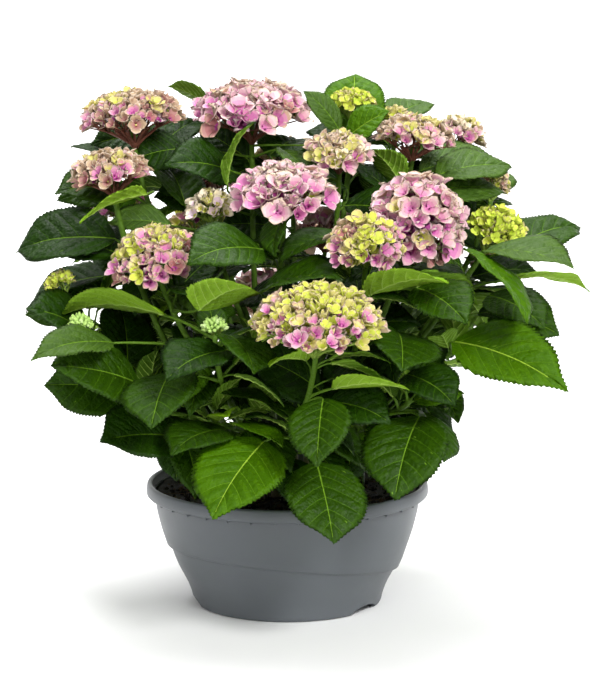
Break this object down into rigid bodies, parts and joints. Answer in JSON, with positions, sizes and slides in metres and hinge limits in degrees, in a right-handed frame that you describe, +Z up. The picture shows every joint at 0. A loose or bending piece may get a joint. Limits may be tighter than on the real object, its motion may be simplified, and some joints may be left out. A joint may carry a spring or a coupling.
{
  "type": "potted hydrangea shrub",
  "caption": "Bushy mophead hydrangea with serrate leaves and pink and lime flower heads, grown in a round grey plastic bowl full of dark soil.",
  "frame": {"origin": "centre of the pot's flat underside", "axes": "+Z up along the pot's axis; -Y towards the front of the plant, the side with the largest low flower head; +X to its right"},
  "size_m": [0.607, 0.5725, 0.5578],
  "materials": {
    "pot_plastic": "satin blue-grey moulded plastic",
    "soil_peat": "moist dark peat compost",
    "cane_bark": "smooth green-brown bark",
    "foliage_green": "satin green leaves with pink and lime florets"
  },
  "bodies": {
    "root": {"pot": "pot_plastic", "soil": "soil_peat", "cane_front": "cane_bark", "cane_front_left": "cane_bark", "cane_front_right": "cane_bark", "cane_left_front": "cane_bark", "cane_middle": "cane_bark", "cane_left_top": "cane_bark", "cane_left_side": "cane_bark", "cane_top_left": "cane_bark", "cane_top_right": "cane_bark", "cane_right_top": "cane_bark", "cane_right_side": "cane_bark", "cane_back_right": "cane_bark", "cane_back": "cane_bark", "cane_back_left": "cane_bark", "cane_left_back": "cane_bark", "foliage_front": "foliage_green", "foliage_front_left": "foliage_green", "foliage_front_right": "foliage_green", "foliage_left_front": "foliage_green", "foliage_middle": "foliage_green", "foliage_left_top": "foliage_green", "foliage_left_side": "foliage_green", "foliage_top_left": "foliage_green", "foliage_top_right": "foliage_green", "foliage_right_top": "foliage_green", "foliage_right_side": "foliage_green", "foliage_back_right": "foliage_green", "foliage_back": "foliage_green", "foliage_back_left": "foliage_green", "foliage_left_back": "foliage_green"}
  },
  "joints": []
}
